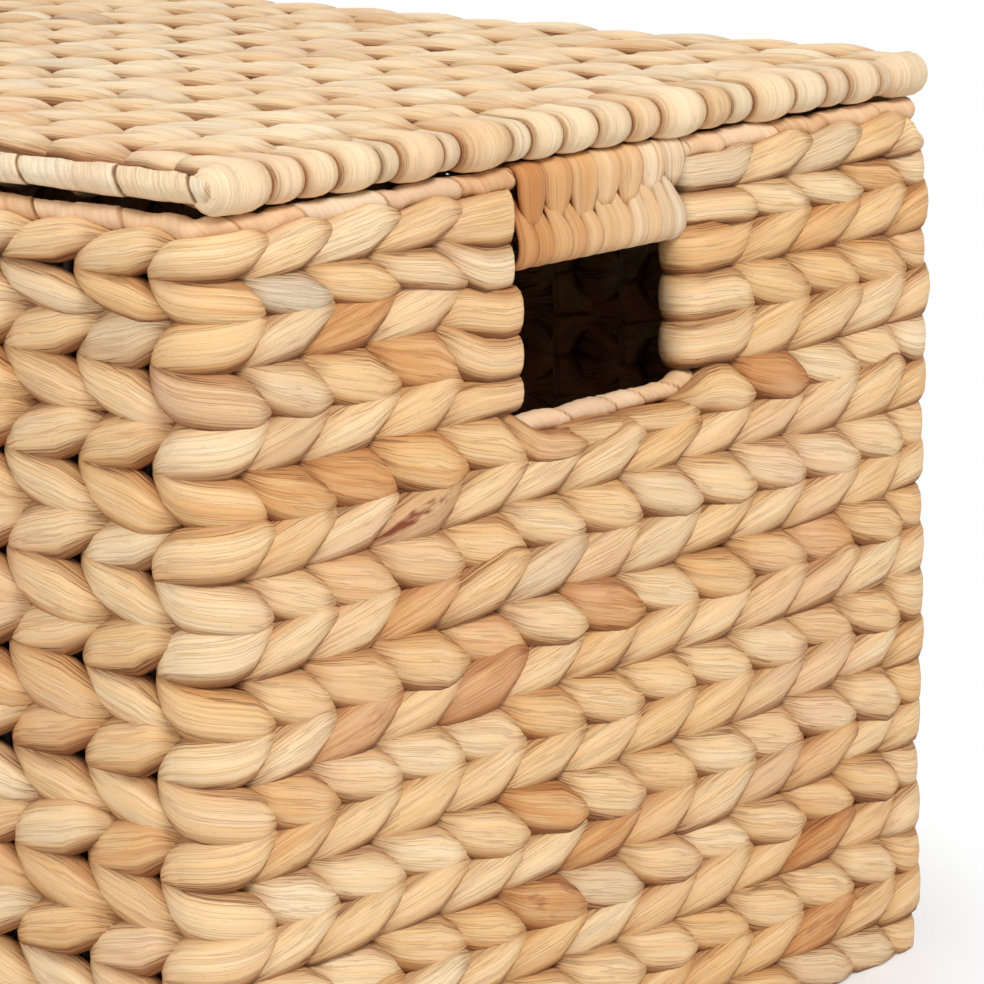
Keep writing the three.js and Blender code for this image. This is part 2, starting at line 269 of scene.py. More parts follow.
lidLeaf = dict(wallLeaf, tones=[(0.0, srgb(250, 232, 200)), (0.4, srgb(247, 220, 180)),
                                (0.75, srgb(238, 203, 156)), (1.0, srgb(222, 178, 126))],
               creaseShare=0.4, bandShare=0.16)
floorLeaf = dict(wallLeaf, fibres=4.0)
woundStrip = dict(wallLeaf, tones=[(0.0, srgb(240, 213, 180)), (0.5, srgb(230, 190, 148)),
                                   (1.0, srgb(206, 154, 102))], fibres=5.0, stretch=3.0, bump=0.3,
                  creaseShare=0.36)
barStrip = dict(wallLeaf, tones=[(0.0, srgb(243, 220, 188)), (0.35, srgb(236, 199, 152)),
                                 (0.7, srgb(222, 170, 114)), (1.0, srgb(196, 132, 74))],
                fibres=3.2, stretch=1.2, bump=0.4, blush=0.2)


# Point attribute of tone and shade: red picks the tone, green the stain, blue the greying, alpha the painted shade in
# crevices, at seams and where a strand dives
def makeLeafMaterial(name, finish):
    material, tree, shader = newMaterial(name)
    marks = addNode(tree, "ShaderNodeAttribute", attribute_name="leafToneAndShade").outputs
    tone = addNode(tree, "ShaderNodeSeparateColor", {0: marks["Color"]}).outputs
    fibre = addNode(tree, "ShaderNodeGroup", node_tree=fibreGroup)
    tree.links.new(addNode(tree, "ShaderNodeUVMap", uv_map="strand").outputs[0], fibre.inputs["Strand UV"])
    tree.links.new(tone["Red"], fibre.inputs["Seed"])
    tree.links.new(marks["Alpha"], fibre.inputs["Shade"])
    fibre.inputs["Fibres"].default_value = finish["fibres"]
    fibre.inputs["Stretch"].default_value = finish["stretch"]
    out = fibre.outputs
    shade = addMath(tree, "ADD", tone["Red"], addMath(tree, "MULTIPLY", out["Bands"], finish["bandShare"]))
    shade = addMath(tree, "SUBTRACT", shade, finish["bandShare"] / 2, clamp=True)
    colour = addRamp(tree, shade, finish["tones"])
    place = addNode(tree, "ShaderNodeTexCoord").outputs["Object"]
    blush = addNode(tree, "ShaderNodeTexNoise",
                    {"Vector": place, "Scale": finish["blushScale"], "Detail": 2.0}).outputs["Fac"]
    blush = addRange(tree, blush, finish["blushFrom"], finish["blushTo"], 0.0, finish["blush"])
    colour = addBlend(tree, blush, colour, finish["pink"])
    colour = addBlend(tree, tone["Blue"], colour, finish["grey"])
    stain = addMath(tree, "MULTIPLY", tone["Green"], addRange(tree, out["Stain"], *finish["stainBands"]))
    colour = addBlend(tree, stain, colour, finish["stain"])
    creases = addMath(tree, "MULTIPLY", out["Creases"], finish["creaseShare"])
    colour = addBlend(tree, creases, colour, finish["crease"])
    specks = addMath(tree, "MULTIPLY", out["Specks"], finish["speckShare"])
    colour = addBlend(tree, specks, colour, finish["crease"])
    # Painted shade: the alpha darkens the colour towards dark brown, a little less where the bands are light
    paintedHollowShade = addMath(tree, "MULTIPLY", marks["Alpha"], addRange(tree, out["Bands"], *finish["paintedShadeBands"]))
    paintedShadeColour = addRamp(tree, addMath(tree, "MULTIPLY", paintedHollowShade, finish["paintedShadeShare"]), finish["paintedHollowShade"])
    colour = addBlend(tree, 1.0, colour, paintedShadeColour, "MULTIPLY")
    tree.links.new(colour, shader.inputs["Base Color"])
    tree.links.new(addRange(tree, out["Bands"], *finish["roughness"]), shader.inputs["Roughness"])
    bump = addNode(tree, "ShaderNodeBump",
                   {"Height": out["Height"], "Strength": finish["bump"], "Distance": finish["bumpDepth"]})
    tree.links.new(bump.outputs[0], shader.inputs["Normal"])
    shader.inputs["Specular IOR Level"].default_value = finish["specular"]
    return material


galvanised = {
    "grain": 240.0,
    "tones": [(0.3, srgb(104, 101, 97)), (0.7, srgb(142, 139, 134))],
    "roughness": (0.3, 0.7, 0.65, 0.8),
    "metallic": 0.6,
}


def makeSteelMaterial(finish):
    material, tree, shader = newMaterial("galvanisedWire")
    place = addNode(tree, "ShaderNodeTexCoord").outputs["Object"]
    spangle = addNode(tree, "ShaderNodeTexNoise",
                      {"Vector": place, "Scale": finish["grain"], "Detail": 3.0}).outputs["Fac"]
    tree.links.new(addRamp(tree, spangle, finish["tones"]), shader.inputs["Base Color"])
    tree.links.new(addRange(tree, spangle, *finish["roughness"]), shader.inputs["Roughness"])
    shader.inputs["Metallic"].default_value = finish["metallic"]
    return material


wallMaterial = makeLeafMaterial("hyacinthWall", wallLeaf)
lidMaterial = makeLeafMaterial("hyacinthLid", lidLeaf)
floorMaterial = makeLeafMaterial("hyacinthFloor", floorLeaf)
stripMaterial = makeLeafMaterial("hyacinthStrip", woundStrip)
barMaterial = makeLeafMaterial("hyacinthBar", barStrip)
steelMaterial = makeSteelMaterial(galvanised)
print("materials made")

# Strands: rows of rings, each a flattened round set square to the strand's path

# Painted shade at the sides of a strand, where it turns into the crevices beside its neighbours, and on its inner
# face; less of it on the upper side, which the light from above reaches
strandShade = {
    "back": (-0.2, 0.3),
    "edgeReach": 0.36,
    "broad": 0.3,
    "broadFrom": -0.995,
    "broadTo": -0.72,
    "topReach": 0.5,
}
upward = np.array([0.0, 0.0, 1.0])
alongY = np.array([0.0, 1.0, 0.0])


def smooth(x, low, high):
    x = np.clip((np.asarray(x, float) - low) / (high - low), 0, 1)
    return x * x * (3 - 2 * x)


def repeat(value, count):
    return np.tile(value, (count, 1))


class StrandBundle:
    def __init__(self, sides, roundness=0.9, innerRoundness=None, edgeShade=0.95, edgeFrom=-0.9):
        self.sides = sides
        self.roundness = roundness
        self.innerRoundness = innerRoundness or roundness
        self.edgeShade = edgeShade
        self.edgeFrom = edgeFrom
        self.points, self.uvs, self.tones, self.loops = [], [], [], []

    def add(self, centre, outward, wide, halfWide, halfThin, along, tone, closed=False, folds=None,
            relief=None, uvs=None, topEdge=1.0):
        if closed:
            centre, outward, wide, tone = (np.vstack([a, a[:1]]) for a in (centre, outward, wide, tone))
            halfWide, halfThin = (np.append(a, a[0]) for a in (halfWide, halfThin))
            along = np.append(along, 2 * along[-1] - along[-2])
            folds = None if folds is None else np.vstack([folds, folds[:1]])
            relief = None if relief is None else np.vstack([relief, relief[:1]])
            uvs = None if uvs is None else np.vstack([uvs, 2 * uvs[-1:] - uvs[-2:-1]])
        count = len(centre)
        angle = np.linspace(0, 2 * math.pi, self.sides + 1)
        cosine, sine = np.cos(angle), np.sin(angle)
        thinShape = -np.sign(cosine) * np.abs(cosine) ** self.roundness
        wideShape = np.sign(sine) * np.abs(sine) ** np.where(cosine > 0, self.innerRoundness, self.roundness)
        swell = np.ones((count, self.sides + 1)) if relief is None else relief.copy()
        if folds is not None:
            for lobes, column in ((3, 0), (5, 1)):
                swell += folds[:, column:column + 1] * np.cos(lobes * angle[None, :] + folds[:, 2:3] * lobes)
        points = (centre[:, None, :]
                  + outward[:, None, :] * (halfThin[:, None] * thinShape * swell)[:, :, None]
                  + wide[:, None, :] * (halfWide[:, None] * wideShape * swell)[:, :, None])
        points[:, -1, :] = points[:, 0, :]
        if uvs is None:
            uvs = np.stack(np.broadcast_arrays(np.linspace(0, 1, self.sides + 1)[None, :], along[:, None]), axis=2)
        if tone.ndim == 2:
            tone = self.shadeEdges(tone, cosine, sine, topEdge)
        self.loops.append((len(self.points), count))
        self.points.extend(points)
        self.uvs.extend(uvs)
        self.tones.extend(tone)

    def shadeEdges(self, tone, cosine, sine, topEdge):
        back = smooth(cosine, *strandShade["back"])[None, :]
        dark = tone[:, 3:4] * (1 - back) + tone[:, -1:] * back
        tone = np.repeat(tone[:, None, :4], self.sides + 1, axis=1)
        turned = -np.abs(cosine)
        edge = smooth(turned, self.edgeFrom, self.edgeFrom + strandShade["edgeReach"]) * self.edgeShade
        broad = strandShade["broad"] * smooth(turned, strandShade["broadFrom"], strandShade["broadTo"])
        edge = np.maximum(edge, broad)[None, :]
        # Less painted shade on the upper side, which the light from above reaches
        edge = edge * (1 - (1 - topEdge) * smooth(sine, 0.0, strandShade["topReach"])[None, :])
        tone[:, :, 3] = 1 - (1 - dark) * (1 - edge)
        return tone

    # One grid is made for all the strands, and the faces that would bridge two of them are taken out
    def make(self, name, material, body, slotName, *replaced, ground=-1000.0):
        rows, columns = len(self.points), self.sides + 1
        shape = bmesh.new()
        shape.loops.layers.uv.new("strand")
        bmesh.ops.create_grid(shape, x_segments=self.sides, y_segments=rows - 1, size=1.0, calc_uvs=True)
        mesh = bpy.data.meshes.new(name)
        shape.to_mesh(mesh)
        shape.free()
        flat = np.zeros(len(mesh.vertices) * 3)
        mesh.vertices.foreach_get("co", flat)
        column = np.rint((flat[0::3] + 1) / 2 * self.sides).astype(int)
        row = np.rint((flat[1::3] + 1) / 2 * (rows - 1)).astype(int)
        place = row * columns + column
        points = np.array(self.points).reshape(-1, 3)
        points[:, 2] = np.maximum(points[:, 2], ground)
        mesh.vertices.foreach_set("co", (points * mm)[place].ravel())
        attribute = mesh.attributes.new("leafToneAndShade", "FLOAT_COLOR", "POINT")
        attribute.data.foreach_set("color", np.array(self.tones).reshape(-1, 4)[place].ravel())
        flat = np.zeros(len(mesh.loops) * 2)
        mesh.uv_layers["strand"].data.foreach_get("uv", flat)
        place = (np.rint(flat[1::2] * (rows - 1)) * columns + np.rint(flat[0::2] * self.sides)).astype(int)
        mesh.uv_layers["strand"].data.foreach_set("uv", np.array(self.uvs).reshape(-1, 2)[place].ravel())
        shape = bmesh.new()
        shape.from_mesh(mesh)
        shape.faces.ensure_lookup_table()
        rowOf = np.zeros(len(shape.faces), int)
        for face in shape.faces:
            rowOf[face.index] = min(row[v.index] for v in face.verts)
        bridges = {start - 1 for start, count in self.loops if start}
        gone = [shape.faces[i] for i in np.nonzero(np.isin(rowOf, list(bridges)))[0]]
        bmesh.ops.delete(shape, geom=gone, context="FACES_ONLY")
        bmesh.ops.delete(shape, geom=[e for e in shape.edges if not e.link_faces], context="EDGES")
        bmesh.ops.remove_doubles(shape, verts=shape.verts, dist=1e-7)
        bmesh.ops.holes_fill(shape, edges=[e for e in shape.edges if len(e.link_faces) == 1], sides=0)
        bmesh.ops.recalc_face_normals(shape, faces=shape.faces)
        for face in shape.faces:
            face.smooth = True
        shape.to_mesh(mesh)
        shape.free()
        piece = addObject(name, mesh)
        mesh.materials.append(material)
        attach(piece, body)
        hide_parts(*replaced)
        print(name, len(mesh.polygons), "faces")


# The line of the stakes, anticlockwise from the left end of the front

straightX = box["halfLength"] - box["cornerRadius"]
straightY = box["halfWidth"] - box["cornerRadius"]
sideRuns = [2 * straightX, 2 * straightY] * 2
cornerRun = math.pi / 2 * box["cornerRadius"]
sideStarts = np.cumsum([0.0] + [run + cornerRun for run in sideRuns])
sideBase = [((-straightX, -box["halfWidth"]), (1, 0)), ((box["halfLength"], -straightY), (0, 1)),
            ((straightX, box["halfWidth"]), (-1, 0)), ((-box["halfLength"], straightY), (0, -1))]


def makeStakePlaces():
    places = []
    for side, run in enumerate(sideRuns):
        bays = box["sideBays"] if side % 2 == 0 else box["endBays"]
        first = box["cornerGap"] - box["cornerRadius"]
        places.extend(sideStarts[side] + first + np.linspace(0, run - 2 * first, bays + 1))
        places.append(sideStarts[side] + run + cornerRun / 2)
    return np.array(places)


stakePlaces = makeStakePlaces()
stakeCount = len(stakePlaces)
cornerStakes = set(np.cumsum([box["sideBays"] + 2, box["endBays"] + 2] * 2) - 1)


def placeOfStake(t):
    turns = np.floor(t / stakeCount)
    around = np.append(stakePlaces, stakePlaces[0] + sideStarts[-1])
    return np.interp(t - turns * stakeCount, np.arange(stakeCount + 1), around) + turns * sideStarts[-1]


def stakeLine(place):
    place = np.mod(np.asarray(place, float), sideStarts[-1])
    points, outward = np.zeros((len(place), 3)), np.zeros((len(place), 3))
    for i, s in enumerate(place):
        side = min(int(np.searchsorted(sideStarts, s, side="right")) - 1, 3)
        (x, y), (dx, dy) = sideBase[side]
        along = s - sideStarts[side]
        straight = min(along, sideRuns[side])
        angle = max(along - sideRuns[side], 0) / box["cornerRadius"]
        nx, ny = dy, -dx
        tx = nx * math.cos(angle) - ny * math.sin(angle)
        ty = nx * math.sin(angle) + ny * math.cos(angle)
        x += dx * straight + box["cornerRadius"] * (tx - nx)
        y += dy * straight + box["cornerRadius"] * (ty - ny)
        points[i] = x, y, 0
        outward[i] = tx, ty, 0
    return points, outward


# One twined strand, over two stake gaps: behind its stake at 0 and 2, in front of the next at 1

twine = {
    "steps": [0, 0.05, 0.1, 0.16, 0.23, 0.34, 0.5, 0.7, 0.9, 1.07, 1.22, 1.37, 1.5, 1.61, 1.7, 1.78, 1.83,
              1.88, 1.94],
    "at": [0, 0.05, 0.1, 0.16, 0.24, 0.35, 0.5, 0.7, 0.9, 1.08, 1.23, 1.4, 1.53, 1.65, 1.75, 1.83, 1.89, 1.95, 2.0],
    "drop": [0, -2.5, -5.0, -6.3, -5.6, -3.9, -2.0, -0.5, 0.8, 1.9, 3.5, 4.6, 4.9, 4.9, 4.8, 3.0, -0.3, -0.2, 0],
    "half": [9.4, 8.8, 6.2, 4.4, 5.0, 6.5, 7.9, 9.0, 9.6, 9.8, 9.0, 7.2, 5.4, 3.9, 2.6, 5.8, 9.2, 9.4, 9.4],
    "out": [-5.0, -4.2, -2.4, -0.2, 1.6, 2.9, 3.7, 4.6, 5.3, 5.5, 4.9, 4.1, 3.5, 2.9, 1.9, -0.5, -2.9, -4.4, -5.0],
    "thick": [3.7, 3.4, 2.9, 2.6, 3.0, 3.8, 4.4, 4.4, 4.2, 4.2, 4.4, 4.4, 4.1, 3.6, 3.1, 2.7, 3.0, 3.4, 3.7],
    "rowHeight": 15.0,
}

# How far a strand differs from the next, with the limits of the spread
twineVary = {
    "swayIn": (0.02, 0.35),
    "swayOut": (1.7, 1.95),
    "limit": 1.5,
    "drop": 0.65,
    "half": 0.08,
    "halfLimits": (-0.7, 1.8),
    "out": 0.55,
    "thick": 0.08,
    "threeFold": 0.03,
    "fiveFold": 0.025,
}

# Painted shade where a strand tucks in and dives behind its stakes, and on its inner face between them: how dark,
# from and to
twineShade = {
    "tuckIn": (0.62, 0.14, 0.24),
    "rise": (0.42, 0.2, 0.6),
    "fall": (0.38, 1.28, 1.6),
    "tuckOut": (0.6, 1.62, 1.8),
    "inside": 0.4,
    "insideIn": (0.2, 0.5),
    "insideOut": (1.5, 1.8),
}


def twineValue(name, t):
    return np.interp(np.mod(t, 2.0), twine["at"], twine[name])


# Leaves that stand out in the weave: (row, stake in front) with tone, stain and greying
notable = {
    (1, 16): (0.15, 0.0, 0.75),
    (5, 24): (0.9, 0.2, 0.0),
    (6, 18): (0.5, 1.0, 0.0),
    (9, 21): (0.8, 0.4, 0.0),
    (10, 17): (0.75, 0.4, 0.0),
    (10, 19): (0.88, 0.2, 0.0),
    (14, 21): (0.8, 0.5, 0.0),
    (16, 25): (0.9, 0.35, 0.0),
    (15, 20): (0.75, 0.6, 0.0),
    (7, 17): (0.55, 0.0, 0.0),
    (5, 16): (0.7, 0.05, 0.0),
}

# Tones of all the others, with the share of a draw from which a leaf is stained or grey
toneSpread = {
    "mean": 0.42,
    "spread": 0.15,
    "lightest": 0.05,
    "darkest": 0.85,
    "stainedFrom": 0.97,
    "stainedTone": 0.8,
    "stain": (0.1, 0.4),
    "greyFrom": 0.93,
    "grey": (0.15, 0.3),
}


def pickTone(row, stake):
    known = notable.get((row, int(stake) % stakeCount))
    if known:
        return known + (0.0,)
    roll = rng.random(5)
    tone = rng.normal(toneSpread["mean"], toneSpread["spread"])
    tone = float(np.clip(tone, toneSpread["lightest"], toneSpread["darkest"]))
    stain, grey = 0.0, 0.0
    if roll[1] > toneSpread["stainedFrom"]:
        tone, stain = toneSpread["stainedTone"], toneSpread["stain"][0] + toneSpread["stain"][1] * roll[2]
    if roll[4] > toneSpread["greyFrom"]:
        grey = toneSpread["grey"][0] + toneSpread["grey"][1] * roll[3]
    return tone, stain, grey, 0.0


def strandRings(row, phase, firstLeaf, lastLeaf, lean, height, low=None, high=None):
    size = height / twine["rowHeight"]
    rings = []
    for leaf in range(firstLeaf, lastLeaf + 1):
        start = 2 * leaf + phase
        vary = rng.normal(0, 1, 8)
        tone = pickTone(row, start + 1)
        covers = {int(start + k) % stakeCount for k in range(3)}
        steps = list(twine["steps"])
        if covers & cornerStakes:
            steps = sorted(steps + [(a + b) / 2 for a, b in zip(steps, steps[1:] + [2.0])])
        for step in steps:
            t = start + step
            if (low is not None and t < low - 1e-6) or (high is not None and t > high + 1e-6):
                continue
            rings.append((t, step, vary, tone))
    t, step, vary, tone = (np.array(column) for column in zip(*rings))
    sway = smooth(step, *twineVary["swayIn"]) * (1 - smooth(step, *twineVary["swayOut"]))
    limit = twineVary["limit"]
    drop = (twineValue("drop", step) + sway * np.clip(vary[:, 0], -limit, limit) * twineVary["drop"]) * size
    half = twineValue("half", step) * size * (
        1 + sway * np.clip(vary[:, 1], *twineVary["halfLimits"]) * twineVary["half"])
    out = twineValue("out", step) + sway * np.clip(vary[:, 2], -limit, limit) * twineVary["out"]
    thick = twineValue("thick", step) * (1 + sway * np.clip(vary[:, 3], -limit, limit) * twineVary["thick"])
    folds = np.stack([twineVary["threeFold"] * np.sin(vary[:, 4]), twineVary["fiveFold"] * np.cos(vary[:, 5]),
                      vary[:, 6]], axis=1)
    # Painted shade in the alpha where the strand dives, and a fifth column of painted shade for its inner face
    tone[:, 3] = sum(twineShade[name][0] * (1 - smooth(step, *twineShade[name][1:])) for name in ("tuckIn", "rise"))
    tone[:, 3] += sum(twineShade[name][0] * smooth(step, *twineShade[name][1:]) for name in ("fall", "tuckOut"))
    inside = smooth(step, *twineShade["insideIn"]) * (1 - smooth(step, *twineShade["insideOut"]))
    tone = np.column_stack([tone, twineShade["inside"] * inside])
    return t, -lean * drop, half, out, thick, tone, folds


# Adds the ends to a strand. Each has places, facings, half widths and half thicknesses, from the strand outwards
def joinEnds(first, last, step, along, centre, outward, half, thick, tone, folds):
    count = len(last[0])
    beyond = step * np.arange(1, count + 1)
    flat = np.zeros((count, 3))
    centre, outward, half, thick = (np.concatenate([a[::-1], line, b]) for a, line, b in
                                    zip(first, (centre, outward, half, thick), last))
    return (np.concatenate([along[0] - beyond[::-1], along, along[-1] + beyond]), centre, outward, half, thick,
            np.vstack([repeat(tone[0], count), tone, repeat(tone[-1], count)]), np.vstack([flat, folds, flat]))


# Walls: rows that run all the way round under the hand openings, and half way round beside them

wallWeave = {
    "sides": 14,
    "innerRoundness": 0.5,
    # Share of the painted edge shade kept on the upper side of a strand, and on that of the top row
    "topEdge": 0.7,
    "firstTopEdgeShade": 0.1,
    "endWallFrom": 230.0,
    "waveRows": (4, 3),
    "waveHeight": 0.2,
    "parts": {"front": (-5.0, 19.0), "back": (23.0, 47.0)},
    "lastStretch": 0.9,
    "halfAtJamb": 8.1,
    "flatAtJamb": 0.75,
    "stretchNearBar": (52, 86),
    "lastRow": 4,
    "lastRowHalf": 1.04,
    "ground": 0.2,
}

# The row under the hand openings, pressed down by the sill
pressedRow = {"row": 5, "reach": (32, 57), "level": 207.0, "rise": 0.42, "thinner": 0.44}

# The top row at the back, which leaves room for the lid's rear rod, bindings and corners
backRow = {
    "from": (164, 172),
    "bindingReach": (8.5, 20),
    "corner": (206, 222),
    "out": 2.7,
    "flatter": 0.35,
    "lower": 1.0,
    "dip": 3.0,
    "thinner": 0.1,
    "dipThinner": 0.5,
}

# A strand's turn round a jamb wire, and how it runs out where it only stops there
jambTurn = {
    "angles": np.radians([0, 20, 40, 60, 80, 100, 120, 140, 160, 180]),
    "radius": 5.6,
    "thick": 2.9,
    "topRows": 2,
    "topRadius": 3.2,
    "topThick": 2.6,
    "before": 5.0,
    "beforeHalf": 8.2,
    "beforeThick": 3.3,
    "half": 8.1,
    "behind": (8.0, 20.0, 34.0),
    "behindHalf": [7.4, 5.4, 3.0],
    "behindThick": [2.4, 2.2, 1.8],
    "stopBack": 5.5,
    "stop": (6.0, -2.0),
    "stopHalf": [5.0, 3.0],
    "stopThick": [2.6, 2.0],
    "rise": 0.8,
    "uvStep": 0.06,
}


def onEndWall(points):
    return np.abs(points[:, 0]) > wallWeave["endWallFrom"]


def addRingRow(bundle, row, phase, lean, middle, height):
    t, rise, half, out, thick, tone, folds = strandRings(row, phase, 0, stakeCount // 2 - 1, lean, height)
    points, outward = stakeLine(placeOfStake(t))
    first, most = wallWeave["waveRows"]
    wave = wallWeave["waveHeight"] * min(row - first, most) * np.sin(t * 0.9 + row * 0.3)
    level = middle + rise + wave
    if row == pressedRow["row"]:
        pressed = (1 - smooth(np.abs(points[:, 1]), *pressedRow["reach"])) * onEndWall(points)
        low = pressedRow["level"] + (level - pressedRow["level"]) * pressedRow["rise"]
        level = level + pressed * (low - level)
        half = half * (1 - pressedRow["thinner"] * pressed)
    centre = points + outward * out[:, None] + upward * level[:, None]
    bundle.add(centre, outward, repeat(upward, len(t)), half, thick, t / 2, tone, True, folds,
               topEdge=wallWeave["topEdge"])


# The end of a strand, from the last stake on
def jambEnd(last, front, isTop):
    side = 1 if last[0] > 0 else -1
    towards = -np.sign(last[1])
    jamb = np.array([side * box["halfLength"], -towards * box["jamb"], 0.0])
    out = np.array([side, 0.0, 0.0])
    go = np.array([0.0, towards, 0.0])
    if not front:
        place = [jamb - jambTurn["stopBack"] * out - go * d for d in jambTurn["stop"]]
        return place, [out, out], np.array(jambTurn["stopHalf"]), np.array(jambTurn["stopThick"])
    radius, thick = (jambTurn[name] for name in (("topRadius", "topThick") if isTop else ("radius", "thick")))
    around = [math.cos(a) * out + math.sin(a) * go for a in jambTurn["angles"]]
    place = [jamb + radius * out - go * jambTurn["before"]] + [jamb + radius * way for way in around]
    place += [jamb - radius * out - go * d for d in jambTurn["behind"]]
    facing = [out] + around + [-out] * len(jambTurn["behind"])
    halfs = np.array([jambTurn["beforeHalf"]] + [jambTurn["half"]] * len(around) + jambTurn["behindHalf"])
    thicks = np.array([jambTurn["beforeThick"]] + [thick] * len(around) + jambTurn["behindThick"])
    return place, facing, halfs, thicks


def addJambRow(bundle, row, phase, part, lean, middle, height):
    low, high = wallWeave["parts"][part]
    firstLeaf, lastLeaf = (int(math.floor((t - phase) / 2)) for t in (low, high))
    t, rise, half, out, thick, tone, folds = strandRings(row, phase, firstLeaf, lastLeaf, lean, height, low, high)
    points, outward = stakeLine(placeOfStake(t))
    topDip, bottomDip = (box["jambDip"][row + k] * (part == "front") for k in (0, 1))
    # A strand in front of the last stake turns round the jamb wire, and one behind it stops there
    front = (int(low) - phase) % 2 == 1
    scale = height / twine["rowHeight"]
    if front:
        last = wallWeave["lastStretch"]
        level = np.maximum(smooth(t, high - last, high), 1 - smooth(t, low, low + last))
        rise = rise * (1 - wallWeave["flatAtJamb"] * level)
        half = half * (1 - level) + wallWeave["halfAtJamb"] * scale * level
    if part == "back" and row == 0:
        x, behind = np.abs(points[:, 0]), smooth(points[:, 1], *backRow["from"])
        dip = behind * np.maximum(1 - smooth(np.abs(x - box["bindingX"]), *backRow["bindingReach"]),
                                  smooth(x, *backRow["corner"]))
        out = out - backRow["out"] * behind
        rise = rise * (1 - backRow["flatter"] * behind) - backRow["lower"] * behind - backRow["dip"] * dip
        half = half * (1 - backRow["thinner"] * behind) * (1 - backRow["dipThinner"] * dip)
    if part == "back" and row == wallWeave["lastRow"]:
        half = half * wallWeave["lastRowHalf"]
    near = (1 - smooth(np.abs(points[:, 1]), *wallWeave["stretchNearBar"])) * onEndWall(points)
    half = half * (1 + near * (topDip - bottomDip) / height)
    level = middle + rise + near * (topDip + bottomDip) / 2
    centre = points + outward * out[:, None] + upward * level[:, None]
    ends = []
    for end in (0, -1):
        place, facing, halfs, thicks = jambEnd(points[end], front, row < jambTurn["topRows"])
        fade = np.linspace(1, 0, len(place)) ** 2
        level = middle + (topDip + bottomDip) / 2 + jambTurn["rise"] * rise[end] * fade
        place = np.array(place) + upward * level[:, None]
        halfs = halfs * scale * (1 + (topDip - bottomDip) / height)
        ends.append((place, np.array(facing), halfs, thicks))
    along, centre, outward, half, thick, tone, folds = joinEnds(
        *ends, jambTurn["uvStep"], t / 2, centre, outward, half, thick, tone, folds)
    bundle.add(centre, outward, repeat(upward, len(centre)), half, thick, along, tone, False, folds,
               topEdge=wallWeave["topEdge"] if row else wallWeave["firstTopEdgeShade"])


def addWallRow(bundle, row, phase, part):
    top, bottom = box["rowTops"][row:row + 2]
    middle, height = (top + bottom) / 2, top - bottom
    lean = 1 if row % 2 else -1
    if part == "ring":
        addRingRow(bundle, row, phase, lean, middle, height)
    else:
        addJambRow(bundle, row, phase, part, lean, middle, height)


for name, rows, part, node in (("lowerWeaveTop", range(5, 10), "ring", "wall_weave_lower"),
                               ("lowerWeaveMiddle", range(10, 15), "ring", "wall_weave_lower"),
                               ("lowerWeaveBase", range(15, 20), "ring", "wall_weave_lower"),
                               ("upperWeaveFront", range(5), "front", "wall_weave_front"),
                               ("upperWeaveBack", range(5), "back", "wall_weave_back")):
    bundle = StrandBundle(wallWeave["sides"], innerRoundness=wallWeave["innerRoundness"])
    for row in rows:
        for phase in (0, 1):
            addWallRow(bundle, row, phase, part)
    bundle.make(name, wallMaterial, "box", "wall_leaf", node, ground=wallWeave["ground"])
print("walls woven")

# Rods wound with leaf strip: the rims, the sills and the lid's long rods

rimStrip = {
    "radius": 3.7,
    "sides": 14,
    "step": 1.1,
    "turn": 27.0,
    "turnSpread": (0.65, 1.35),
    "arc": 2.6,
    "seamAngle": 0.9,
    "wrinkle": 2.1,
    "swell": 11,
    "relief": 0.06,
    "lap": 0.09,
    "lapWidth": 0.5,
    "seamWidth": 0.45,
    "seamShade": 0.95,
    # The rim's tone is set darker than the strip's own, partly as painted shade for the shade under the lid
    "tone": 0.6,
    "toneSpread": 0.22,
    "stainedFrom": 0.93,
    "greyFrom": 0.85,
    "mark": 0.3,
    "uvTurn": 25.0,
    "uvLength": 60,
    "fromBar": 42.3,
}
sillStrip = dict(rimStrip, radius=3.2, step=0.8, turn=19.0, arc=4.5, tone=0.5, relief=0.09, x=235.6, reach=47.5,
                 knots=[(4.0, 1.9, 1.7, 3.4), (9.0, 0.6, 0.6, 3.0), (44, 0.4, 0.4, 8.0), (92, -1.4, 1.2, 5.0)])
lidRodStrip = dict(rimStrip, radius=4.5, sides=16, step=0.9, turn=34.0, relief=0.035, tone=0.2, reach=237.5,
                   level=306.4, endShade=(0.4, 0.9, 1.9), endSize=(0.7, 2.0))


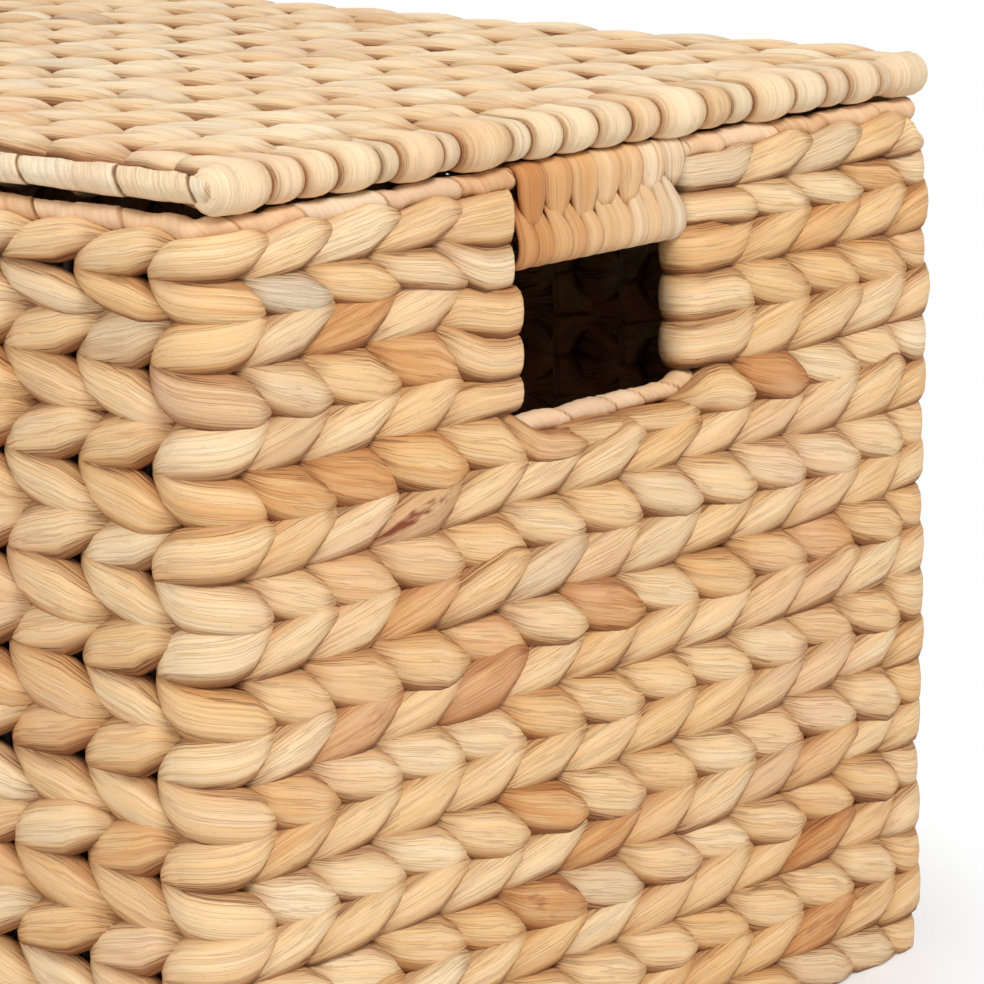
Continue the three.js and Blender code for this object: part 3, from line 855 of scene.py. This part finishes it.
# The strip's seams run askew round the rod. A knot is a place along it, a drop, a swelling and a reach
def windAround(bundle, points, outward, settings, knots=()):
    turn, wrinkle, swell = settings["turn"], settings["wrinkle"], settings["swell"]
    s = np.concatenate([[0.0], np.cumsum(np.linalg.norm(np.diff(points, axis=0), axis=1))])
    angle = np.linspace(0, 2 * math.pi, bundle.sides + 1)[None, :]
    place = s[:, None] + settings["arc"] * np.cos(angle - settings["seamAngle"])
    seams = [-turn * rng.random()]
    while seams[-1] < s[-1] + turn:
        seams.append(seams[-1] + turn * rng.uniform(*settings["turnSpread"]))
    seams = np.array(seams)
    winding = np.clip(np.searchsorted(seams, place) - 1, 0, len(seams) - 2)
    within = (place - seams[winding]) / (seams[winding + 1] - seams[winding])
    lumps = rng.normal(0, 1, int(s[-1] / wrinkle) + 40)
    shifted = place + settings["arc"] * 1.5 * np.sin(angle * 2 + 1)
    wrinkles = np.interp(shifted.ravel() / wrinkle + 12, np.arange(len(lumps)), lumps).reshape(place.shape)
    swells = rng.normal(0, 1, int(s[-1] / swell) + 20)
    slow = np.interp(place.ravel() / swell + 6, np.arange(len(swells)), swells).reshape(place.shape)
    gap = np.minimum(within, 1 - within) * turn
    lap = within - 0.5 - np.exp(-(gap / settings["lapWidth"]) ** 2)
    relief = 1 + settings["relief"] * (0.5 * wrinkles + slow) + settings["lap"] * lap
    seeds = settings["tone"] + settings["toneSpread"] * rng.normal(0, 1, len(seams))
    tones = np.zeros(place.shape + (4,))
    tones[:, :, 0] = np.clip(seeds[winding], 0.02, 0.98)
    for channel, limit in ((1, settings["stainedFrom"]), (2, settings["greyFrom"])):
        tones[:, :, channel] = np.where(rng.random(len(seams)) > limit, settings["mark"], 0.0)[winding]
    # Painted shade along the seams, where one turn laps over the next
    tones[:, :, 3] = np.exp(-(gap / settings["seamWidth"]) ** 2) * settings["seamShade"]
    along = np.broadcast_to(angle / (2 * math.pi) * 0.5, place.shape) + s[:, None] / settings["uvLength"]
    uvs = np.stack([place / settings["uvTurn"], along], axis=2)
    size = np.full(len(s), float(settings["radius"]))
    # Painted shade at the ends of a rod, where they run into the lid's corners
    if "endShade" in settings:
        ends = np.minimum(s, s[-1] - s)
        dark, shadeFrom, shadeTo = settings["endShade"]
        least, reach = settings["endSize"]
        tones[:, :, 3] = np.maximum(tones[:, :, 3], dark * (1 - smooth(ends, shadeFrom, shadeTo)[:, None]))
        size = size * (least + (1 - least) * smooth(ends, 0.0, reach))
    for at, drop, growth, reach in knots:
        bump = np.exp(-((s - at) / reach) ** 2)
        points = points - upward * min(drop, growth + 1.0) * bump[:, None]
        size = size + growth * bump
    bundle.add(points, outward, repeat(upward, len(points)), size, size, s / 30, tones, relief=relief, uvs=uvs)


def evenly(start, end, step):
    start, end = np.array(start, float), np.array(end, float)
    count = max(int(np.linalg.norm(end - start) / step), 2)
    return start + (end - start) * np.linspace(0, 1, count)[:, None]


# Each rim wrap runs from the middle of one end wall to that of the other, but for the hand bars
rightMiddle, leftMiddle = sideStarts[1] + straightY, sideStarts[3] + straightY
for name, start, end, node in (("rimWrapFront", leftMiddle - sideStarts[4], rightMiddle, "rim_wrap_front"),
                               ("rimWrapBack", rightMiddle, leftMiddle, "rim_wrap_back")):
    bundle = StrandBundle(rimStrip["sides"], 1.0)
    start, end = start + rimStrip["fromBar"], end - rimStrip["fromBar"]
    points, outward = stakeLine(np.arange(start, end, rimStrip["step"]))
    points[:, 2] = box["rim"]
    stakes = np.concatenate([stakePlaces - sideStarts[4], stakePlaces]) - start
    knots = [(at + rng.normal(0, 4), rng.uniform(0.2, 2.2), rng.uniform(0.1, 1.1), rng.uniform(2.5, 5))
             for at in stakes if 0 < at < end - start]
    windAround(bundle, points, outward, rimStrip, knots)
    bundle.make(name, stripMaterial, "box", "rim_strip", node)

for side, sign in (("Right", 1), ("Left", -1)):
    bundle = StrandBundle(sillStrip["sides"], 1.0)
    x, reach = sign * sillStrip["x"], sillStrip["reach"]
    points = evenly((x, -reach, box["sill"]), (x, reach, box["sill"]), sillStrip["step"])
    windAround(bundle, points, repeat([float(sign), 0.0, 0.0], len(points)), sillStrip, sillStrip["knots"])
    bundle.make("sillWrap" + side, stripMaterial, "box", "rim_strip", "sill_wrap_" + side.lower())
print("rims and sills wound")

# Hand bars: strips looped over the rim rod and under the lower wire, laced into each other half way

# Each strip is a place along the bar, a half width, a tone and the height of its tips
handBar = {
    "top": 295.0,
    "bottom": 270.6,
    "reach": 3.9,
    "strip": 1.0,
    "sides": 12,
    "upper": [(-36.0, 7.4, 0.86, 276.5), (-22.8, 7.6, 0.74, 277.5), (-9.6, 7.2, 0.58, 275.5), (1.6, 6.6, 0.45, 279.0),
              (13.0, 6.9, 0.5, 278.5), (24.6, 6.6, 0.24, 281.0), (36.0, 6.3, 0.2, 282.5)],
    "lower": [(-37.4, 4.9, 0.8, 288.0), (-29.0, 4.9, 0.8, 290.0), (-21.0, 5.0, 0.7, 288.5), (-13.2, 5.0, 0.62, 291.0),
              (-5.2, 5.2, 0.55, 289.0), (2.8, 5.0, 0.5, 292.0), (10.6, 5.0, 0.4, 290.5), (18.2, 4.9, 0.3, 292.5),
              (25.2, 4.7, 0.25, 291.5), (31.8, 4.4, 0.15, 292.5), (38.2, 3.8, 0.12, 292.0)],
    "lean": 6.5,
    "leanSpread": (0.6, 1.3),
    "shift": 1.3,
    "reachSpread": 0.18,
    "halfSpread": (0.93, 1.12),
    "lift": 0.6,
    "tuck": 1.7,
    "liftFrom": {"upper": 0.3, "lower": 0.45},
    "liftTo": 0.75,
    "over": 3.3,
    "points": 62,
    "bend": (3, 19),
    # Painted shade at the strips' tips: how dark, from and to
    "dark": (0.9, 1.0, 6.0),
}


def addBarStrip(bundle, sign, layer, y, half, tone, tip):
    upper = layer == "upper"
    rodZ = handBar["top"] if upper else handBar["bottom"]
    way = 1.0 if upper else -1.0
    reach = handBar["reach"] + rng.normal(0, handBar["reachSpread"])
    half = half * rng.uniform(*handBar["halfSpread"])
    liftFrom = handBar["liftFrom"][layer]
    levels = np.linspace(tip, rodZ - way, 9)
    share = np.linspace(0, 1, 9)
    lift = (reach + handBar["lift"] * smooth(share, liftFrom, handBar["liftTo"])
            - handBar["tuck"] * (1 - smooth(share, 0, liftFrom)))
    start = [(0.2, tip - way * 0.8)] + list(zip(lift, levels))
    turn = [(reach * math.cos(a), rodZ + way * handBar["over"] * math.sin(a))
            for a in np.radians([20, 45, 70, 90, 110, 135, 160])]
    finish = [(-x, z) for x, z in start[::-1]]
    rising = np.concatenate([[0.14], 0.2 + 0.8 * smooth(share, -0.25, 0.85)])
    widths = np.concatenate([rising, np.ones(7), rising[::-1]]) * half
    line = np.array(start + turn + finish)
    fine = np.linspace(0, len(line) - 1, handBar["points"])
    line = np.stack([np.interp(fine, np.arange(len(line)), line[:, k]) for k in (0, 1)], axis=1)
    for _ in range(2):
        line[1:-1] = (line[:-2] + 2 * line[1:-1] + line[2:]) / 4
    widths = np.interp(fine, np.arange(len(widths)), widths)
    away = np.gradient(line, axis=0)
    away /= np.linalg.norm(away, axis=1)[:, None]
    facing = np.stack([way * away[:, 1], -way * away[:, 0]], axis=1)
    shift = rng.normal(0, handBar["shift"]) if upper else -handBar["lean"] * rng.uniform(*handBar["leanSpread"])
    shift = shift * smooth(np.abs(line[:, 1] - rodZ), *handBar["bend"]) * np.where(line[:, 0] > 0, 1, -1)
    centre = np.stack([sign * (box["halfLength"] + line[:, 0]), sign * (y + shift), line[:, 1]], axis=1)
    outward = np.stack([sign * facing[:, 0], 0 * widths, facing[:, 1]], axis=1)
    tones = repeat([tone + rng.normal(0, 0.06), 0.25 * (tone > 0.95), 0.3 * (tone < 0.22), 0.0], len(centre))
    # Painted shade at the strip's tips, which tuck under the other layer
    dark, shadeFrom, shadeTo = handBar["dark"]
    tones[:, 3] = dark * (1 - smooth(np.abs(line[:, 1] - tip), shadeFrom, shadeTo))
    folds = repeat([0.04, 0.07 * rng.random(), rng.random() * 6], len(centre))
    bundle.add(centre, outward, repeat(alongY, len(centre)), widths, np.full(len(centre), handBar["strip"]),
               fine / 30 + tone, tones, folds=folds)


for side, sign in (("Right", 1), ("Left", -1)):
    bundle = StrandBundle(handBar["sides"], 0.72, edgeShade=0.75, edgeFrom=-0.6)
    for layer in ("upper", "lower"):
        for y, half, tone, tip in handBar[layer]:
            addBarStrip(bundle, sign, layer, y, half, tone, tip)
    bundle.make("handBar" + side, barMaterial, "box", "handle_strip", "handle_wrap_" + side.lower())
print("hand bars laced")

# Lid: rows along x, twined round the cross wires and turned round the end rods

# The lumps are the strands' turns round the end rods, given by the seams between them
lidWeave = {
    "level": 306.3,
    "sides": 14,
    "edgeShade": 0.95,
    "edgeFrom": -0.68,
    "out": 0.82,
    "thick": 0.98,
    "halfWidth": 170.7,
    "rodX": 235.0,
    "lastWire": 209.0,
    "wires": 15,
    "lumps": [-176.5, -154.5, -140.4, -125.7, -107, -98.5, -78.2, -70.3, -46.1, -36.8, -21.2, -3.7,
              13.3, 27.8, 52, 65.5, 77.5, 100.5, 119, 131.5, 150, 157.5, 177],
    "lumpOverlap": 1.03,
    "lumpThick": 2.8,
    "fullness": 0.95,
    "fullAt": (16, 8),
    "fullLimits": (-1.2, 0.8),
    "fullSpread": 0.15,
    "narrow": 13,
    "narrowGrey": 0.35,
    "rodRadius": 4.2,
    "turned": (-1.0, 15.0),
    "stopped": (-0.9, 14.9),
    "spread": (13.6, 14.9, -0.9, 0.4),
    "under": ((7, 0.2), (16, 1.2), (26, 2.6)),
    "underHalf": [0.95, 0.8, 0.5],
    "underThick": [2.2, 1.8, 1.4],
    "uvStep": 0.04,
    "firstRow": 100,
}
lidWires = np.linspace(-lidWeave["lastWire"], lidWeave["lastWire"], lidWeave["wires"])
lidWires = np.concatenate([[-lidWeave["rodX"]], lidWires, [lidWeave["rodX"]]])
endAngles = np.radians([0, 18, 36, 54, 72, 90, 108, 126, 144, 162, 180])


# The end of a row, turned round an end rod
def lidTurn(side, y, half, thick):
    level, radius = lidWeave["level"], lidWeave["rodRadius"]
    around = np.array([(side * math.sin(a), 0.0, math.cos(a)) for a in endAngles])[1:]
    place = np.array([side * lidWeave["rodX"], y, level]) + around * radius
    under = [(side * (lidWeave["rodX"] - inward), y, level - radius + rise) for inward, rise in lidWeave["under"]]
    return (np.vstack([place, under]), np.vstack([around, repeat(-upward, len(under))]),
            np.concatenate([np.full(len(around), half), half * np.array(lidWeave["underHalf"])]),
            np.concatenate([np.full(len(around), thick), lidWeave["underThick"]]))


def addLidRow(bundle, row, phase):
    rows = len(lidWeave["lumps"]) - 1
    pitch = 2 * lidWeave["halfWidth"] / rows
    y = -lidWeave["halfWidth"] + pitch * (row + 0.5)
    low, high = lidWeave["lumps"][row:row + 2]
    lean = -1 if row % 2 else 1
    turned = phase == 0
    even, reach = lidWeave["fullAt"]
    full = lidWeave["fullness"] * float(np.clip((high - low - even) / reach, *lidWeave["fullLimits"]))
    full += rng.normal(0, lidWeave["fullSpread"])
    t, rise, half, out, thick, tone, folds = strandRings(
        lidWeave["firstRow"] + row, phase, -1, 7, lean, pitch, *lidWeave["turned" if turned else "stopped"])
    x = np.interp(t, np.arange(-1, 16), lidWires)
    end = np.maximum(smooth(t, *lidWeave["spread"][:2]), 1 - smooth(t, *lidWeave["spread"][2:]))
    spread = end * (1.0 if turned else 0.5)
    yEnd, halfEnd = (low + high) / 2, (high - low) / 2 * lidWeave["lumpOverlap"]
    yLine = (y + rise) * (1 - spread) + yEnd * spread
    half = half * (1 - spread) + halfEnd * spread
    out = out * lidWeave["out"]
    thick = thick * lidWeave["thick"]
    if turned:
        lump = lidWeave["lumpThick"] + full
        out = out * (1 - end) + lidWeave["rodRadius"] * end
        thick = thick * (1 - end) + lump * end
        if high - low < lidWeave["narrow"]:
            tone[:, 2] = np.maximum(tone[:, 2], lidWeave["narrowGrey"] * end)
    centre = np.stack([x, yLine, lidWeave["level"] + out], axis=1)
    outward, along = repeat(upward, len(t)), t / 2
    if turned:
        ends = [lidTurn(side, yEnd, halfEnd, lump) for side in (-1, 1)]
        along, centre, outward, half, thick, tone, folds = joinEnds(
            *ends, lidWeave["uvStep"], along, centre, outward, half, thick, tone, folds)
    bundle.add(centre, outward, repeat(alongY, len(centre)), half, thick, along, tone, folds=folds)


for name, rows in (("lidWeaveFront", range(0, 11)), ("lidWeaveRear", range(11, 22))):
    bundle = StrandBundle(lidWeave["sides"], edgeShade=lidWeave["edgeShade"], edgeFrom=lidWeave["edgeFrom"])
    for row in rows:
        for phase in (0, 1):
            addLidRow(bundle, row, phase)
    bundle.make(name, lidMaterial, "lid", "lid_leaf", "lid_weave")

lidCorner = {
    "steps": [-7.5, -4.5, 0, 4, 7.5, 10, 12, 13.4, 14.4, 14.9],
    "y": 162.8,
    "size": 7.6,
    "innerSizes": (5.0, 6.4, 7.4),
    "roundFrom": 8,
    "roundReach": 7.1,
    "power": 3.4,
    "leastSize": 0.03,
    # The dome's tone is set a little darker to tone down its highlight, partly painted shade
    "tone": [0.36, 0.0, 0.05, 0.04],
}


# Solid rounded corners, where the first and last rows turn round the end rods
def addLidCorner(bundle, xSide, ySide):
    steps = np.array(lidCorner["steps"])
    count, columns = len(steps), bundle.sides + 1
    centre = np.stack([np.full(count, xSide * lidWeave["rodX"]), ySide * (lidCorner["y"] + steps),
                       np.full(count, lidWeave["level"])], axis=1)
    inward = np.maximum(steps - lidCorner["roundFrom"], 0) / lidCorner["roundReach"]
    power = lidCorner["power"]
    size = lidCorner["size"] * np.clip(1 - inward ** power, lidCorner["leastSize"], 1) ** (1 / power)
    size[:3] = lidCorner["innerSizes"]
    along = steps / 30
    uvs = np.stack(np.broadcast_arrays(along[:, None], 0.7 * np.linspace(0, 1, columns)[None, :] + 0.2), axis=2)
    bundle.add(centre, repeat([float(xSide), 0.0, 0.0], count), repeat(upward, count), size, size, along,
               np.tile(lidCorner["tone"], (count, columns, 1)), uvs=uvs)


for name, ySide, node in (("lidRodFront", -1.0, "lid_front_wrap"), ("lidRodRear", 1.0, "lid_rear_wrap")):
    bundle = StrandBundle(lidRodStrip["sides"], 1.0)
    y, reach = ySide * box["halfWidth"], lidRodStrip["reach"]
    points = evenly((-reach, y, lidRodStrip["level"]), (reach, y, lidRodStrip["level"]), lidRodStrip["step"])
    windAround(bundle, points, repeat([0.0, ySide, 0.0], len(points)), lidRodStrip)
    for xSide in (-1, 1):
        addLidCorner(bundle, xSide, ySide)
    bundle.make(name, lidMaterial, "lid", "rim_strip", node)
print("lid woven")

# Floor: coarse rows twined round the floor wires

floorWeave = {
    "level": 11.0,
    "sides": 10,
    "out": 0.42,
    "half": 0.97,
    "thick": 0.6,
    "rows": 22,
    "halfWidth": 165.0,
    "halfLength": 224.5,
    "ends": (-0.5, 14.5),
    "firstRow": 200,
}


def addFloorRow(bundle, row, phase):
    pitch = 2 * floorWeave["halfWidth"] / floorWeave["rows"]
    t, rise, half, out, thick, tone, folds = strandRings(
        floorWeave["firstRow"] + row, phase, -1, 7, -1 if row % 2 else 1, pitch, *floorWeave["ends"])
    x = np.interp(t, floorWeave["ends"], (-floorWeave["halfLength"], floorWeave["halfLength"]))
    y = -floorWeave["halfWidth"] + pitch * (row + 0.5) + rise
    centre = np.stack([x, y, floorWeave["level"] + out * floorWeave["out"]], axis=1)
    bundle.add(centre, repeat(upward, len(t)), repeat(alongY, len(t)), half * floorWeave["half"],
               thick * floorWeave["thick"], t / 2, tone, folds=folds)


bundle = StrandBundle(floorWeave["sides"])
for row in range(floorWeave["rows"]):
    for phase in (0, 1):
        addFloorRow(bundle, row, phase)
bundle.make("floorWeave", floorMaterial, "box", "floor_leaf", "floor_weave")
print("floor woven")

# Hinge bindings: strip bound four times round the rear rim and the lid's rear rod

binding = {
    "turns": 4,
    "width": 4.0,
    "half": 2.0,
    "strip": 0.62,
    "sides": 10,
    "roundness": 0.8,
    "rings": 48,
    "radius": 4.98,
    "radiusStep": 0.05,
    "slant": 0.5,
    "low": 295.0,
    "high": 305.6,
    "tone": 0.45,
    "toneStep": 0.1,
}


def addBindingTurn(bundle, sign, turn):
    count = binding["rings"]
    x = sign * box["bindingX"] + (turn - (binding["turns"] - 1) / 2) * binding["width"]
    angles = np.linspace(0, 2 * math.pi, count, endpoint=False)
    sine = np.sin(angles)
    facing = np.stack([0 * angles, np.cos(angles), sine], axis=1)
    middle = np.where(sine > 0, binding["high"], binding["low"])
    middle = np.where(np.abs(sine) < 0.1, (binding["high"] + binding["low"]) / 2, middle)
    centre = facing * (binding["radius"] + binding["radiusStep"] * (turn % 2)) + np.stack(
        [x + binding["slant"] * sine, 0 * angles + box["halfWidth"], middle], axis=1)
    tone = [binding["tone"] + binding["toneStep"] * turn, 0.0, 0.0, 0.0]
    bundle.add(centre, facing, repeat([1.0, 0.0, 0.0], count), np.full(count, binding["half"]),
               np.full(count, binding["strip"]), 2 * np.arange(count) / count, repeat(tone, count), closed=True)


for side, sign in (("Right", 1), ("Left", -1)):
    bundle = StrandBundle(binding["sides"], binding["roundness"])
    for turn in range(binding["turns"]):
        addBindingTurn(bundle, sign, turn)
    bundle.make("hingeBinding" + side, stripMaterial, "lid", "loop_strip", "hinge_loop_" + side.lower())
print("hinges bound")

# The two wire frames keep their CAD meshes
for name in ("wire_frame", "lid_wire_frame"):
    nodes[name].data.materials.clear()
    nodes[name].data.materials.append(steelMaterial)

# Light and stage

lamps = {
    "keyLamp": {"at": (1.9, -0.6, 2.4), "aim": (0.1, 0, 0.2), "size": 0.9, "power": 64},
    "fillLamp": {"at": (-0.9, -2.4, 1.7), "aim": (0, 0, 0.15), "size": 1.4, "power": 28},
}
studio = {"soft": 0.3, "white": 1.0, "floorSize": 3.0, "floorRoughness": 0.85, "glowFrom": 0.25, "glowTo": 0.36}


def makeLamp(name, at, aim, size, power):
    data = bpy.data.lights.new(name, "AREA")
    data.shape = "DISK"
    data.size = size
    data.energy = power
    lamp = addObject(name, data)
    lamp.location = at
    lamp.rotation_mode = "QUATERNION"
    lamp.rotation_quaternion = (Vector(aim) - Vector(at)).to_track_quat("-Z", "Y")


for name, settings in lamps.items():
    makeLamp(name, **settings)


# The camera sees white, and the box is lit by a softer grey
def makeWorld():
    world = bpy.data.worlds.new("studio")
    bpy.context.scene.world = world
    world.use_nodes = True
    tree = world.node_tree
    tree.nodes.clear()
    path = tree.nodes.new("ShaderNodeLightPath").outputs
    seen = addMath(tree, "MAXIMUM", path["Is Camera Ray"],
                   addMath(tree, "MAXIMUM", path["Is Glossy Ray"], path["Is Transmission Ray"]))
    soft, white = (addNode(tree, "ShaderNodeBackground", {"Color": (1, 1, 1, 1), "Strength": studio[name]}).outputs[0]
                   for name in ("soft", "white"))
    mix = addNode(tree, "ShaderNodeMixShader", {0: seen, 1: soft, 2: white}).outputs[0]
    out = tree.nodes.new("ShaderNodeOutputWorld")
    tree.links.new(mix, out.inputs["Surface"])


makeWorld()


# A pale floor that takes the shadow near the box and glows white further out
def makeFloor():
    shape = bmesh.new()
    bmesh.ops.create_grid(shape, x_segments=2, y_segments=2, size=studio["floorSize"])
    mesh = bpy.data.meshes.new("studioFloor")
    shape.to_mesh(mesh)
    shape.free()
    floor = addObject("studioFloor", mesh)
    material, tree, shader = newMaterial("paleFloor")
    shader.inputs["Base Color"].default_value = srgb(240, 239, 238)
    shader.inputs["Roughness"].default_value = studio["floorRoughness"]
    place = addNode(tree, "ShaderNodeTexCoord").outputs["Object"]
    distance = addNode(tree, "ShaderNodeVectorMath", {0: place}, operation="LENGTH").outputs["Value"]
    far = addRange(tree, distance, studio["glowFrom"], studio["glowTo"])
    seen = addNode(tree, "ShaderNodeLightPath").outputs["Is Camera Ray"]
    glow = addNode(tree, "ShaderNodeEmission", {"Color": (1, 1, 1, 1), "Strength": studio["white"]}).outputs[0]
    mix = addNode(tree, "ShaderNodeMixShader",
                  {0: addMath(tree, "MULTIPLY", far, seen), 1: shader.outputs[0], 2: glow})
    tree.links.new(mix.outputs[0], tree.nodes["Material Output"].inputs["Surface"])
    mesh.materials.append(material)


makeFloor()
bpy.context.scene.view_settings.view_transform = "Standard"
print("stage lit")
